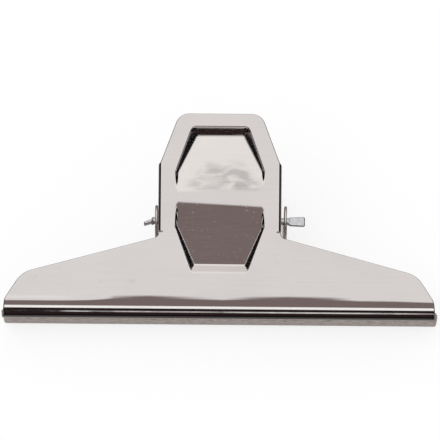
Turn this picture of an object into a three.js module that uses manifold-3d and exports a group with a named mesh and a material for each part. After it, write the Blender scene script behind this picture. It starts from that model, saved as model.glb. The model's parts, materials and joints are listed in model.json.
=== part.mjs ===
// Wide bulldog clip: two pressed sheet-steel jaws on one hinge pin, held shut by two torsion springs.
// Millimetres. The clip lies on its rear jaw, whose flat outer face is at z = 0.
// X runs along the jaws, and +Y points to the two heads that are squeezed.
//
// Each jaw is drawn in its own frame: x along the jaw, u from the foot of the pin towards the head,
// and n from the jaw's outer face inwards.

import * as THREE from "three";
import { ConvexGeometry } from "three/addons/geometries/ConvexGeometry.js";
import { mergeVertices } from "three/addons/utils/BufferGeometryUtils.js";
import Module from "manifold-3d";

const wasm = await Module();
wasm.setup();

// Sheet and hinge
const SHEET = 0.8; // thickness of the sheet of both jaws
const WEDGE = THREE.MathUtils.degToRad(30); // angle between the two flats when the jaws are shut
const PIN_DEPTH = 15.3; // pin axis below each jaw's outer face
const PIN_RADIUS = 1.0;
const PIN_CLEARANCE = 0.3; // radial, pin to hole
const TOUCH_GAP = 0.3; // left between pieces that press on each other

// Head of the front jaw, seen square on
const HEAD_TOP_U = 30.75;
const HEAD_TOP_HALF = 11.7; // half-width where the two edges of the top corner would cross
const HEAD_CORNER_R = 4.0;
const SIDE_TOP_U = 15.0; // the parallel sides run from here to the shoulder
const SIDE_HALF = 17.6; // half-width over the parallel sides
const SIDE_TOP_R = 3.0;
const SHOULDER_U = -4.6;
const SHOULDER_R = 1.4;

// Wings and lips
const WING_CORNER_HALF = 56.5;
const WING_CORNER_U = -15.0;
const WING_CORNER_R = 7.7;
const WING_FOOT_HALF = 61.5;
const WING_FOOT_U = -22.6;
const WING_FOOT_R = 4.0;
const LIP_HALF = 62.5;
const LIP_START_U = -22.3; // the flat ends here and the lip starts to curl
const LIP_R = 5.8; // outer radius of the lip
const HEM_R = 1.3; // outer radius of the rolled hem that does the gripping
const HEM_END = THREE.MathUtils.degToRad(235); // how far the sheet has turned at its cut edge

// Ears: the front jaw's are folded from its sides, and the rear jaw's stand outside them
const LUG_R = 4.5; // round end of an ear, about the pin
const BEND_R = 1.1; // outside radius of the fold
const FLANGE_TOP_U = 16.7; // the front jaw's fold fades out here
const EAR_GAP = 0.6; // side gap between a front ear and a rear ear, with the jaws centred
const REAR_ROOT_TOP_U = 8.7; // upper end of a rear ear's root
const REAR_HEAD_INSET = 0.5; // the rear head is this much narrower on each side
const SIDE_SHIFT = 0.18; // each jaw sits this far off centre, to its own side, on the loose pin

// Pressed panels: flush at the bridge between them, and deepest at their far ends
const PANEL_DEPTH = 2.5;
const PANEL_SLOPE_WIDEN = 0.35; // how much wider the back of the pressing is all round
const RIM_SIDE_HALF = 12.9;
const UPPER_PANEL = {
  bridgeU: 8.9,
  bridgeHalf: 11.8,
  sideU: 14.6,
  sideHalf: 11.8,
  farU: 24.2,
  farHalf: 6.9,
  rimFarU: 26.9,
  rimFarHalf: 8.3,
};
const LOWER_PANEL = {
  bridgeU: 4.9,
  bridgeHalf: 11.6,
  sideU: -1.9,
  sideHalf: 11.6,
  farU: -12.1,
  farHalf: 7.5,
  rimFarU: -14.6,
  rimFarHalf: 8.15,
};

// Hinge pin, with its two ends hammered flat so that it can't slide out
const SPADE_END_GAP = 0.35; // from a rear ear to the spade beside it
const SPADE_THICKNESS = 1.0;
const SPADE_HALF = 1.5;
const SPADE_ROOT_LENGTH = 0.6;
const SPADE_R = 0.5;
const RIGHT_SPADE = { length: 4.9, turn: THREE.MathUtils.degToRad(4), droop: 0 };
const LEFT_SPADE = {
  length: 2.9,
  turn: THREE.MathUtils.degToRad(107),
  droop: THREE.MathUtils.degToRad(-20),
};

// Torsion springs on the pin
const WIRE_R = 0.9;
const COIL_R = 3.2; // to the middle of the wire
const COIL_PITCH = 2.35;
const COIL_TURNS = 4; // full turns, besides the part turn between the two legs
const STEPS_PER_TURN = 8;
const WIRE_SIDES = 5;
const LEG_X = 15.0; // the outer leg's place along the pin
const LEG_REACH_U = 17.0; // where the legs press on the heads

// Facets
const CORNER_STEPS = 5;
const LIP_STEPS = 8;
const LUG_STEPS = 14;
const ROUND_SIDES = 16;

const NICKEL = new THREE.MeshStandardMaterial({ color: 0xd2cdc8, roughness: 0.15, metalness: 1 });
const PIN_STEEL = new THREE.MeshStandardMaterial({ color: 0xc6c8cc, roughness: 0.25, metalness: 1 });
const SPRING_STEEL = new THREE.MeshStandardMaterial({ color: 0x9a9896, roughness: 0.35, metalness: 1 });

// A closed outline from corners [x, y, radius], with a true arc at each corner that has a radius.
function roundedOutline(corners) {
  const outline = new THREE.Shape();
  const point = (i) => new THREE.Vector2(...corners[(i + corners.length) % corners.length]);
  corners.forEach(([x, y, radius], i) => {
    const at = new THREE.Vector2(x, y);
    if (!radius) {
      if (i) outline.lineTo(x, y);
      else outline.moveTo(x, y);
      return;
    }
    const back = point(i - 1).sub(at).normalize();
    const on = point(i + 1).sub(at).normalize();
    const half = Math.acos(THREE.MathUtils.clamp(back.dot(on), -1, 1)) / 2;
    const cut = radius / Math.tan(half);
    const start = at.clone().addScaledVector(back, cut);
    const end = at.clone().addScaledVector(on, cut);
    const middle = back.clone().add(on).normalize();
    const centre = at.clone().addScaledVector(middle, radius / Math.sin(half));
    const turnsRight = back.cross(on) > 0;
    const from = Math.atan2(start.y - centre.y, start.x - centre.x);
    const to = Math.atan2(end.y - centre.y, end.x - centre.x);
    if (!i) outline.moveTo(start.x, start.y);
    else outline.lineTo(start.x, start.y);
    outline.absarc(centre.x, centre.y, radius, from, to, turnsRight);
  });
  return outline;
}

// The right half of an outline, from top to bottom, with its mirror image added.
function mirrored(half) {
  const left = half.map(([x, y, radius]) => [-x, y, radius]).reverse();
  return [...half, ...left];
}

const AXES = {
  x: [new THREE.Vector3(0, 1, 0), new THREE.Vector3(0, 0, 1), new THREE.Vector3(1, 0, 0)],
  y: [new THREE.Vector3(0, 0, 1), new THREE.Vector3(1, 0, 0), new THREE.Vector3(0, 1, 0)],
  z: [new THREE.Vector3(1, 0, 0), new THREE.Vector3(0, 1, 0), new THREE.Vector3(0, 0, 1)],
};

// Extrudes a shape along an axis, from one value to another. The shape's own two axes are the next two in turn.
function prism(shape, axis, from, to, steps) {
  const settings = { depth: to - from, bevelEnabled: false, curveSegments: steps };
  const geometry = new THREE.ExtrudeGeometry(shape, settings);
  geometry.translate(0, 0, from);
  geometry.applyMatrix4(new THREE.Matrix4().makeBasis(...AXES[axis]));
  return solid(geometry);
}

// A solid for cutting and joining, from a closed geometry.
function solid(geometry) {
  const bare = geometry.index ? geometry.toNonIndexed() : geometry.clone();
  bare.deleteAttribute("normal");
  bare.deleteAttribute("uv");
  const merged = mergeVertices(bare, 1e-4);
  const vertProperties = new Float32Array(merged.attributes.position.array);
  const triVerts = new Uint32Array(merged.index.array);
  return new wasm.Manifold(new wasm.Mesh({ numProp: 3, vertProperties, triVerts }));
}

// A geometry to show, from a solid.
function geometryOf(made) {
  const mesh = made.getMesh();
  const geometry = new THREE.BufferGeometry();
  geometry.setAttribute("position", new THREE.BufferAttribute(mesh.vertProperties, mesh.numProp));
  geometry.setIndex(new THREE.BufferAttribute(mesh.triVerts, 1));
  const flat = geometry.toNonIndexed();
  flat.computeVertexNormals();
  return flat;
}

// The jaw's section across X: head, flat, lip and rolled hem, as one bent strip of sheet.
function sheetSection() {
  const along = (turn) => -Math.PI / 2 - turn; // direction of a point on the bend after that much turn
  const toMiddle = (PIN_DEPTH - LIP_R) * Math.cos(WEDGE / 2) + LIP_START_U * Math.sin(WEDGE / 2);
  const reach = toMiddle - TOUCH_GAP / 2 - HEM_R; // from the lip's centre to the hem's centre, squarely
  const lipTurn = Math.acos(-reach / (LIP_R - HEM_R)) - WEDGE / 2;
  const hem = new THREE.Vector2(LIP_START_U, LIP_R);
  hem.x += (LIP_R - HEM_R) * Math.cos(along(lipTurn));
  hem.y += (LIP_R - HEM_R) * Math.sin(along(lipTurn));
  const section = new THREE.Shape();
  section.moveTo(HEAD_TOP_U, 0);
  section.lineTo(LIP_START_U, 0);
  section.absarc(LIP_START_U, LIP_R, LIP_R, along(0), along(lipTurn), true);
  section.absarc(hem.x, hem.y, HEM_R, along(lipTurn), along(HEM_END), true);
  section.absarc(hem.x, hem.y, HEM_R - SHEET, along(HEM_END), along(lipTurn), false);
  section.absarc(LIP_START_U, LIP_R, LIP_R - SHEET, along(lipTurn), along(0), false);
  section.lineTo(HEAD_TOP_U, SHEET);
  return section;
}

// An ear seen along X: straight edges from its root to the round lug about the pin.
function earSection(lowU, highU) {
  const touch = (u, side) => {
    const distance = Math.hypot(u, PIN_DEPTH);
    const heading = Math.atan2(-PIN_DEPTH, u);
    return heading + side * Math.acos(LUG_R / distance);
  };
  const section = new THREE.Shape();
  section.moveTo(lowU, 0);
  section.lineTo(highU, 0);
  section.absarc(0, PIN_DEPTH, LUG_R, touch(highU, 1), touch(lowU, -1) + 2 * Math.PI, false);
  return section;
}

// What a fold of the sheet leaves of a square outside corner, as a bar to cut away along u.
function foldCutter(outerHalf, lowU, highU) {
  const corner = new THREE.Shape();
  const over = SHEET / 4;
  corner.moveTo(-over, outerHalf + over);
  corner.lineTo(-over, outerHalf - BEND_R);
  corner.absarc(BEND_R, outerHalf - BEND_R, BEND_R, -Math.PI, -1.5 * Math.PI, true);
  corner.lineTo(BEND_R, outerHalf + over);
  return prism(corner, "y", lowU, highU, CORNER_STEPS);
}

// A pressed panel as a wedge: level with the jaw at its bridge, and sunk at its far end.
// Grown by the sheet it is the back of the pressing, and as it is it is the hollow.
function panelWedge(panel, sink, widen) {
  const depthAt = (u) => (PANEL_DEPTH * (u - panel.bridgeU)) / (panel.farU - panel.bridgeU);
  const end = Math.sign(panel.farU - panel.bridgeU) * widen;
  const points = [];
  for (const side of [-1, 1]) {
    const rim = [
      [panel.bridgeHalf, panel.bridgeU - end],
      [RIM_SIDE_HALF, panel.sideU],
      [panel.rimFarHalf, panel.rimFarU + end],
    ];
    for (const [half, u] of rim) {
      points.push(new THREE.Vector3(side * (half + widen), u, 0));
      if (!sink) points.push(new THREE.Vector3(side * (half + widen), u, -SHEET / 2));
    }
    const floor = [
      [panel.bridgeHalf, panel.bridgeU],
      [panel.sideHalf, panel.sideU],
      [panel.farHalf, panel.farU],
    ];
    for (const [half, u] of floor) {
      points.push(new THREE.Vector3(side * (half + widen), u + end, depthAt(u) + sink));
    }
  }
  return solid(new ConvexGeometry(points));
}

// One jaw about its pin axis. Its outline is given as the right half, from the head down to the shoulder.
function jaw(headOutline, earOuterHalf, earLowU, earHighU) {
  const lipBottomU = LIP_START_U - LIP_R - SHEET;
  const half = [
    ...headOutline,
    [WING_CORNER_HALF, WING_CORNER_U, WING_CORNER_R],
    [WING_FOOT_HALF, WING_FOOT_U, WING_FOOT_R],
    [LIP_HALF, lipBottomU, 0],
  ];
  const tall = PIN_DEPTH + LUG_R + SHEET;
  const outline = prism(roundedOutline(mirrored(half)), "z", -SHEET, tall, CORNER_STEPS);
  let made = prism(sheetSection(), "x", -LIP_HALF, LIP_HALF, LIP_STEPS);
  const ear = earSection(earLowU, earHighU);
  for (const outer of [earOuterHalf, SHEET - earOuterHalf]) {
    made = made.add(prism(ear, "x", outer - SHEET, outer, LUG_STEPS));
  }
  made = made.intersect(outline);
  for (const panel of [UPPER_PANEL, LOWER_PANEL]) {
    made = made.add(panelWedge(panel, SHEET, PANEL_SLOPE_WIDEN));
  }
  for (const panel of [UPPER_PANEL, LOWER_PANEL]) {
    made = made.subtract(panelWedge(panel, 0, 0));
  }
  const fold = foldCutter(earOuterHalf, earLowU + SHOULDER_R, earHighU);
  made = made.subtract(fold).subtract(fold.mirror([1, 0, 0]));
  const hole = new THREE.CylinderGeometry(
    PIN_RADIUS + PIN_CLEARANCE,
    PIN_RADIUS + PIN_CLEARANCE,
    2 * (earOuterHalf + SHEET),
    ROUND_SIDES,
  );
  hole.rotateZ(Math.PI / 2);
  hole.translate(0, 0, PIN_DEPTH);
  return geometryOf(made.subtract(solid(hole))).translate(0, 0, -PIN_DEPTH);
}

const REAR_EAR_HALF = SIDE_HALF + EAR_GAP + SHEET;

function frontJaw() {
  const head = [
    [HEAD_TOP_HALF, HEAD_TOP_U, HEAD_CORNER_R],
    [SIDE_HALF, SIDE_TOP_U, SIDE_TOP_R],
    [SIDE_HALF, SHOULDER_U, SHOULDER_R],
  ];
  return jaw(head, SIDE_HALF, SHOULDER_U, FLANGE_TOP_U);
}

function rearJaw() {
  const headHalf = SIDE_HALF - REAR_HEAD_INSET;
  const head = [
    [HEAD_TOP_HALF - REAR_HEAD_INSET, HEAD_TOP_U, HEAD_CORNER_R],
    [headHalf, SIDE_TOP_U, SIDE_TOP_R],
    [headHalf, REAR_ROOT_TOP_U, 0],
    [REAR_EAR_HALF, REAR_ROOT_TOP_U, 0],
    [REAR_EAR_HALF, SHOULDER_U, SHOULDER_R],
  ];
  return jaw(head, REAR_EAR_HALF, SHOULDER_U, REAR_ROOT_TOP_U);
}

// A flattened end of the pin, pointing along +X from x = 0, with its narrow root at the round shaft.
function spade({ length, turn, droop }) {
  const root = SPADE_ROOT_LENGTH;
  const outline = roundedOutline(
    [
      [-root, -PIN_RADIUS, 0],
      [0, -PIN_RADIUS, 0],
      [root, -SPADE_HALF, 0],
      [length, -SPADE_HALF, SPADE_R],
      [length, SPADE_HALF, SPADE_R],
      [root, SPADE_HALF, 0],
      [0, PIN_RADIUS, 0],
      [-root, PIN_RADIUS, 0],
    ],
  );
  const flat = geometryOf(prism(outline, "z", -SPADE_THICKNESS / 2, SPADE_THICKNESS / 2, CORNER_STEPS));
  return solid(flat.rotateY(droop).rotateX(turn));
}

function hingePin() {
  const right = REAR_EAR_HALF + SIDE_SHIFT + SPADE_END_GAP;
  const left = REAR_EAR_HALF - SIDE_SHIFT + SPADE_END_GAP;
  const shaft = new THREE.CylinderGeometry(PIN_RADIUS, PIN_RADIUS, right + left, ROUND_SIDES);
  shaft.rotateZ(Math.PI / 2);
  shaft.translate((right - left) / 2, 0, 0);
  const rightSpade = spade(RIGHT_SPADE).translate([right, 0, 0]);
  const leftSpade = spade(LEFT_SPADE).mirror([1, 0, 0]).translate([-left, 0, 0]);
  return geometryOf(solid(shaft).add(rightSpade).add(leftSpade));
}

// The right-hand spring's centre line about the pin: rear leg, coil from outside in, front leg.
function springLine() {
  const flatBack = SHEET + WIRE_R + TOUCH_GAP;
  const slope = (LEG_REACH_U - UPPER_PANEL.bridgeU) / (UPPER_PANEL.farU - UPPER_PANEL.bridgeU);
  const panelBack = flatBack + PANEL_DEPTH * slope;
  const tip = (depth, mirror) => {
    const angle = Math.atan2(depth - PIN_DEPTH, LEG_REACH_U);
    const distance = Math.hypot(depth - PIN_DEPTH, LEG_REACH_U);
    return { angle: mirror ? WEDGE - angle : angle, distance };
  };
  const rear = tip(flatBack, false);
  const front = tip(panelBack, true);
  const enter = rear.angle - Math.acos(COIL_R / rear.distance);
  const leave = front.angle + Math.acos(COIL_R / front.distance) - 2 * Math.PI;
  const turned = enter - leave + 2 * Math.PI * COIL_TURNS; // the wire runs round against the angle
  const steps = Math.round((turned / (2 * Math.PI)) * STEPS_PER_TURN);
  const advance = (COIL_PITCH * turned) / (2 * Math.PI);
  const at = (x, angle, distance) =>
    new THREE.Vector3(x, distance * Math.cos(angle), distance * Math.sin(angle));
  const line = [at(LEG_X, rear.angle, rear.distance)];
  for (let i = 0; i <= steps; i++) {
    const share = i / steps;
    line.push(at(LEG_X - advance * share, enter - turned * share, COIL_R));
  }
  line.push(at(LEG_X - advance, front.angle, front.distance));
  return line;
}

// The rings of points round a centre line, each square to it.
function rings(line) {
  const across = new THREE.Vector3(1, 0, 0);
  return line.map((at, i) => {
    const before = line[Math.max(i - 1, 0)];
    const after = line[Math.min(i + 1, line.length - 1)];
    const ahead = after.clone().sub(before).normalize();
    const out = across.clone().cross(ahead).normalize();
    const side = ahead.clone().cross(out);
    return Array.from({ length: WIRE_SIDES }, (_, k) => {
      const angle = (2 * Math.PI * k) / WIRE_SIDES;
      return at
        .clone()
        .addScaledVector(out, WIRE_R * Math.cos(angle))
        .addScaledVector(side, WIRE_R * Math.sin(angle));
    });
  });
}

// The least distance between points of rings that are at least half a turn apart along the wire.
function leastGap(wireRings) {
  let least = Infinity;
  for (let i = 0; i < wireRings.length; i++) {
    for (let j = i + STEPS_PER_TURN / 2; j < wireRings.length; j++) {
      for (const a of wireRings[i]) {
        for (const b of wireRings[j]) least = Math.min(least, a.distanceTo(b));
      }
    }
  }
  return least;
}

// One closed tube along the rings. The mirrored one is the left-hand spring.
function wire(wireRings, mirror) {
  const points = wireRings.flat().map((p) => new THREE.Vector3(mirror ? -p.x : p.x, p.y, p.z));
  const last = wireRings.length - 1;
  const faces = [];
  const at = (ring, k) => ring * WIRE_SIDES + (k % WIRE_SIDES);
  for (let ring = 0; ring < last; ring++) {
    for (let k = 0; k < WIRE_SIDES; k++) {
      faces.push([at(ring, k), at(ring + 1, k), at(ring + 1, k + 1)]);
      faces.push([at(ring, k), at(ring + 1, k + 1), at(ring, k + 1)]);
    }
  }
  for (let k = 1; k < WIRE_SIDES - 1; k++) {
    faces.push([at(0, 0), at(0, k), at(0, k + 1)]);
    faces.push([at(last, 0), at(last, k + 1), at(last, k)]);
  }
  const turned = mirror ? faces : faces.map(([a, b, c]) => [a, c, b]);
  const geometry = new THREE.BufferGeometry().setFromPoints(points);
  geometry.setIndex(turned.flat());
  const flat = geometry.toNonIndexed();
  flat.computeVertexNormals();
  return flat;
}

function named(name, geometry, material) {
  const mesh = new THREE.Mesh(geometry, material);
  mesh.name = name;
  return mesh;
}

const hinge = new THREE.Group();
hinge.position.z = PIN_DEPTH;

const rear = named("rear_jaw_plate", rearJaw(), NICKEL);
rear.position.x = SIDE_SHIFT;
hinge.add(rear);

const front = named("front_jaw_plate", frontJaw(), NICKEL);
front.position.x = -SIDE_SHIFT;
front.rotation.set(WEDGE, Math.PI, 0);
hinge.add(front);

hinge.add(named("hinge_pin", hingePin(), PIN_STEEL));

const springRings = rings(springLine());
console.log("least gap of a spring's wire to itself, mm:", leastGap(springRings).toFixed(2));
hinge.add(named("right_spring", wire(springRings, false), SPRING_STEEL));
hinge.add(named("left_spring", wire(springRings, true), SPRING_STEEL));

const clip = new THREE.Group();
clip.add(hinge);

// The origin is on the resting face, under the middle of the clip.
const reach = new THREE.Box3().setFromObject(clip, true);
clip.position.y = -(reach.min.y + reach.max.y) / 2;
console.log("pin axis, mm: y", clip.position.y.toFixed(4), "z", PIN_DEPTH);

export default clip;
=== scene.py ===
import json
import math

import bpy
import numpy as np
from mathutils import Matrix, Vector
from mathutils.geometry import delaunay_2d_cdt


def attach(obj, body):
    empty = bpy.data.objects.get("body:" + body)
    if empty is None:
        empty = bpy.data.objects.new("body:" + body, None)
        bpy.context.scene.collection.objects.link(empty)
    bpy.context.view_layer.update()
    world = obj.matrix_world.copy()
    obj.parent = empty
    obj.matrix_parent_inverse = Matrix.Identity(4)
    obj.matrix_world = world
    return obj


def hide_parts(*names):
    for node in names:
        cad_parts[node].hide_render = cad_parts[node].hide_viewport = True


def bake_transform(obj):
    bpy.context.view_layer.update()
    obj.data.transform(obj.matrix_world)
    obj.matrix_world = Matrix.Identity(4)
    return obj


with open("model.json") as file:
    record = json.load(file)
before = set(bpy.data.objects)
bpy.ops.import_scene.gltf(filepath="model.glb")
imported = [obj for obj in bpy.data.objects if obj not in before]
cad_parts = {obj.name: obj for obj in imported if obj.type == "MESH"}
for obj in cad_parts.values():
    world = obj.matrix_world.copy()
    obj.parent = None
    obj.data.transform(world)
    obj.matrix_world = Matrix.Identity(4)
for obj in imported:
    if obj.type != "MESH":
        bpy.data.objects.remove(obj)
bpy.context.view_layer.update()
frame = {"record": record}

# A wide bulldog clip lying on its rear jaw. Metres. +X along the jaws, +Y to the heads, +Z up.
# Each jaw is one blank of sheet, drawn flat and then bent: x across, s along the sheet from the foot
# of the pin towards the head, and n from the jaw's outer face inwards.

MM = 0.001

# Sheet and hinge, as the CAD source has them
SHEET = 0.8 * MM
WEDGE = math.radians(30)
PIN_DEPTH = 15.3 * MM
PIN_RADIUS = 1.0 * MM
HOLE_RADIUS = 1.3 * MM
TOUCH_GAP = 0.3 * MM
SIDE_SHIFT = 0.18 * MM
HINGE = next(j for j in frame["record"]["behaviour"]["joints"] if j["name"] == "jaw_hinge")
PIN_AT = Vector(HINGE["pos_m"])

# Head
HEAD_TOP = 30.75 * MM
HEAD_TOP_HALF = 11.7 * MM
HEAD_CORNER_R = 4.0 * MM
SIDE_TOP = 15.0 * MM
SIDE_HALF = 17.6 * MM
SIDE_TOP_R = 3.0 * MM
SHOULDER = -4.6 * MM
SHOULDER_R = 1.4 * MM
REAR_HEAD_INSET = 0.5 * MM

# Wings and lips, with corners as (x, s, radius)
WING_CORNER = (56.5 * MM, -15.0 * MM, 7.7 * MM)
WING_FOOT = (61.5 * MM, -22.6 * MM, 4.0 * MM)
LIP_HALF = 62.5 * MM
LIP_START = -22.3 * MM
LIP_R = 5.8 * MM
LIP_CORNER_R = 0.4 * MM
HEM_R = 1.3 * MM
HEM_END = math.radians(235)

# Ears
LUG_R = 4.5 * MM
BEND_R = 1.1 * MM
FLANGE_TOP = 16.7 * MM
EAR_GAP = 0.6 * MM
REAR_ROOT_TOP = 8.7 * MM
REAR_ROOT_RISE = 0.6 * MM
REAR_ROOT_R = 0.5 * MM
REAR_EAR_HALF = SIDE_HALF + EAR_GAP + SHEET
SLIT = 0.14 * MM  # relief cut between an ear and the wing below it
SLIT_END_R = SLIT / 2.05  # just under half the slit, so that its two corners fit
EAR_LOW = SHOULDER + SHOULDER_R + SLIT
EAR_FOOT_R = 0.35 * MM
SHOULDER_ARC_R = SHOULDER_R * 0.97  # just under the shoulder's, so that the arc fits below the slit
SHOULDER_INSET = 0.02 * MM
PARTING_SLOPE = 0.22  # how steeply the line that parts an ear from the wing falls away on the blank

# Pressed panels, and the bridge that is left between them
PANEL_DEPTH = 2.5 * MM
RIM_HALF = 12.9 * MM
BRIDGE_HIGH = 8.9 * MM
BRIDGE_LOW = 4.9 * MM
BRIDGE_TILT = 0.05  # slope of each edge of the bridge, which widens towards +X on the front jaw
BRIDGE_R = 0.12 * MM
WALL_R = 0.75 * MM  # the arcs at the rim and at the foot of a wall
WALL_TILT = math.radians(50)
RIM_CORNER = 1.5 * MM  # rounding of the rim's corners, which fades to the foot of the wall
FOOT_CORNER = 0.2 * MM
CORNER_FADE = 1.6 * MM  # the stretch inwards in which it fades
SIDE_WALL = 1.1 * MM  # width of the straight side walls
SIDE_BLEND = 0.12  # rounding between side and end walls, as a share of the floor's depth
# A panel's rim, and how many times steeper than the common profile its slanted and end walls are
UPPER_RIM = {
    "side": 14.6 * MM,
    "far": 27.3 * MM,
    "far_half": 8.3 * MM,
    "floor_far": 24.2 * MM,
    "steeper": (0.95, 0.88),
}
LOWER_RIM = {
    "side": -1.9 * MM,
    "far": -14.9 * MM,
    "far_half": 8.15 * MM,
    "floor_far": -12.1 * MM,
    "steeper": (1.45, 1.05),
}

# Unevenness where the front lip starts: its reach above and below, and (x, depth) in millimetres
RIPPLE_ABOVE = 1.5 * MM
RIPPLE_BELOW = 1.1 * MM
RIPPLE = [
    (-62, -0.04), (-50, 0.05), (-40, 0.06), (-32, 0.14), (-20, 0.18), (-9, 0.13), (-1, 0.06),
    (8, 0.11), (20, 0.18), (30, 0.12), (37, -0.06), (45, -0.18), (62, -0.22),
]

# Dull cloud in the upper panel, on the blank
CLOUD_TOP = 18.4 * MM
CLOUD_LOW = 9.6 * MM
CLOUD_X = -1.2 * MM
CLOUD_HALF_TOP = 6.5 * MM
CLOUD_HALF_LOW = 12.5 * MM
CLOUD_CORE = 0.55  # share of the half-width at which it starts to fade
CLOUD_FADE_TOP = 4.5 * MM
CLOUD_FADE_LOW = 1.2 * MM

# Fine lines in the lower panel: how far inside its walls and below the bridge they set in
LINES_INSIDE = (1.2 * MM, 2.2 * MM)
LINES_FADE = 0.6 * MM

# Painted reflection of the floor on the rear lip, from a share of the curl on
LIP_REFLECTION_FROM = 0.3
LIP_REFLECTION_FADE = 1.2 * MM

# Hinge pin
SPADE_END_GAP = 0.35 * MM
SPADE_THICKNESS = 1.0 * MM
SPADE_HALF = 1.5 * MM
SPADE_ROOT = 0.6 * MM
SPADE_R = 0.5 * MM
SPADE_FLATTENS = (-0.3, 1.5)  # where round ends and flat begins, in lengths of the root
SPADE_WIDTH = (0.86, 0.14)  # share of the half-width at the root, and the gain to the tip
SPADE_DEPTH = (1.08, 0.16)  # share of the thickness at the root, and the loss to the tip
SPADE_TIP_LOSS = 0.3
SPADE_SQUARENESS = 3.2
SPADE_STEPS = 26
SPADE_END_STEPS = 7
SHAFT_REACH = 0.8 * MM  # how far before the spade its first ring lies
RIGHT_SPADE = {"length": 4.9 * MM, "turn": math.radians(4), "droop": 0}
LEFT_SPADE = {"length": 2.9 * MM, "turn": math.radians(107), "droop": math.radians(-20)}
PIN_SIDES = 32

# Torsion springs
WIRE_R = 0.9 * MM
COIL_R = 3.2 * MM
COIL_PITCH = 2.35 * MM
COIL_TURNS = 4
LEG_X = 15.0 * MM
LEG_REACH = 17.0 * MM
COIL_STEPS = 56
LEG_STEPS = 10
WIRE_SIDES = 18
WIRE_CHAMFER = 0.15 * MM

# Camera and studio
CAMERA_ELEVATION = math.radians(60)
CAMERA_DISTANCE = 1.5
CAMERA_LENS = 425
CAMERA_ROLL = math.radians(0.5)
AIM_ABOVE_PIN = 0.37 * MM
AIM_RIGHT_OF_PIN = -0.11 * MM
FLOOR_HALF = 6
FLOOR_DROP = 0.02 * MM
FLOOR_COLOUR = (0.95, 0.95, 0.95)
FLOOR_WHITE = 0.8
WORLD_LIGHT = (0.8, 0.8, 0.8)
LAMP_AT = (-1.2, -0.6, 3.4)
LAMP_SIZE = (3.0, 3.0)
LAMP_POWER = 50.0
DOME_RADIUS = 5
DOME_STEPS = 180

BLACK = (0.006, 0.006, 0.008)
DARK_BROWN = (0.028, 0.015, 0.015)
BROWN = (0.2, 0.158, 0.155)
PALE = (0.815, 0.8, 0.805)
BRIGHT = (0.93, 0.915, 0.905)
WHITE = (1.05, 1.05, 1.06)
GREY = (0.36, 0.33, 0.32)
SOFT = (0.47, 0.43, 0.42)
SHADE = (0.085, 0.08, 0.078)
# The room's directions are in degrees, with azimuths counted from the front.
# A light panel at each side: its middle (azimuth, elevation), half its width and height, and its soft edge
SIDE_LIGHT = (0.72, 0.7, 0.69)
SIDE_LIGHT_AT = (63, 17)
SIDE_LIGHT_WIDE = 6
SIDE_LIGHT_HIGH = 9
SIDE_LIGHT_EDGE = 2
# Narrow lights low in front, which draw a line on the lip: elevation, how far from it they are full and
# where they end, and each one's azimuth and share
LIP_LIGHT = (0.95, 0.94, 0.95)
LIP_LIGHT_AT = -21
LIP_LIGHT_FULL = 3
LIP_LIGHT_END = 6
LIP_LIGHTS = {-1: 0.9, 1: 0.9, 2: 0.95}
# The white band in front, up to this elevation, fades out between two azimuths
WHITE_BAND_TOP = 18
WHITE_BAND_FADE = (16, 26)
# A grey underside at the side, which comes in between these azimuths and angles below the horizon
UNDERSIDE_FROM = (84, 90)
UNDERSIDE_BELOW = (10, 20)
# The azimuths between which one profile passes into the next
TO_SIDE = (32, 50)
TO_STREAK = (103, 109)
TO_BACK = (134, 156)

# What lies round the clip, from the nadir to the zenith: (elevation in degrees, colour)
FRONT_PROFILE = [
    (-90, SHADE), (-66, SHADE), (-60, BLACK), (-48, BLACK), (-45, DARK_BROWN), (-30, DARK_BROWN),
    (-26, BLACK), (-18, BLACK), (-15, DARK_BROWN), (-7, DARK_BROWN), (-4, BLACK), (0, BLACK),
    (3, WHITE), (15, WHITE), (18, BROWN), (49, BROWN), (54, PALE), (66, PALE), (74, BRIGHT),
    (90, BRIGHT),
]
SIDE_PROFILE = [
    (-90, GREY), (-36, GREY), (-26, BLACK), (38, BLACK), (43, BRIGHT), (90, BRIGHT),
]
STREAK_PROFILE = [
    (-90, GREY), (-50, BLACK), (-36, DARK_BROWN), (-22, BROWN), (-14, DARK_BROWN), (-6, BLACK),
    (6, BLACK), (10, BROWN), (13, BROWN), (16, PALE), (20, BROWN), (26, DARK_BROWN), (32, PALE),
    (90, BRIGHT),
]
BACK_PROFILE = [
    (-90, GREY), (-20, BROWN), (2, BROWN), (12, SOFT), (22, SOFT), (34, PALE), (90, BRIGHT),
]

# Rounding of the sheet's edges
EDGE_R = 0.32 * MM
EDGE_STEPS = 4

# Mesh spacing
OUTLINE_STEP = 0.45 * MM
LUG_STEPS = 36
FLAT_STEP = 1.3 * MM
PANEL_STEP = 0.33 * MM
FOLD_STEP = 0.17 * MM
LIP_STEP = 0.3 * MM
HEM_STEP = 0.16 * MM
LIP_COLUMN = 1.0 * MM
FOLD_ROW = 0.7 * MM
ARC_STEP = math.radians(9)
HOLE_SIDES = 32
# Fields of grid points on the blank: half-widths, and (half-width, lowest and highest s)
FLAT_FIELD_HALF = 66 * MM
LIP_FIELD_HALF = 63 * MM
PANEL_FIELD = (14 * MM, -16.2 * MM, 28.2 * MM)
PANEL_CLEARING = (14.6 * MM, -16.8 * MM, 28.8 * MM)
FOLD_CLEARING = 0.9  # half of what is cleared round a fold, in lengths of the fold
EDGE_CLEARANCE = 0.16 * MM
HOLE_CLEARANCE = 0.2 * MM
SHARPEST_MITRE = 0.6  # cosine of half the turn at which a mitre stops growing
BATCH = 2000

# Steps for slopes that are measured and not worked out
SLOPE_STEP = 0.002 * MM
EDGE_SLOPE_STEP = 0.01 * MM


def unit(rows):
    """Rows of directions, each made one long."""
    return rows / np.linalg.norm(rows, axis=1)[:, None]


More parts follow.
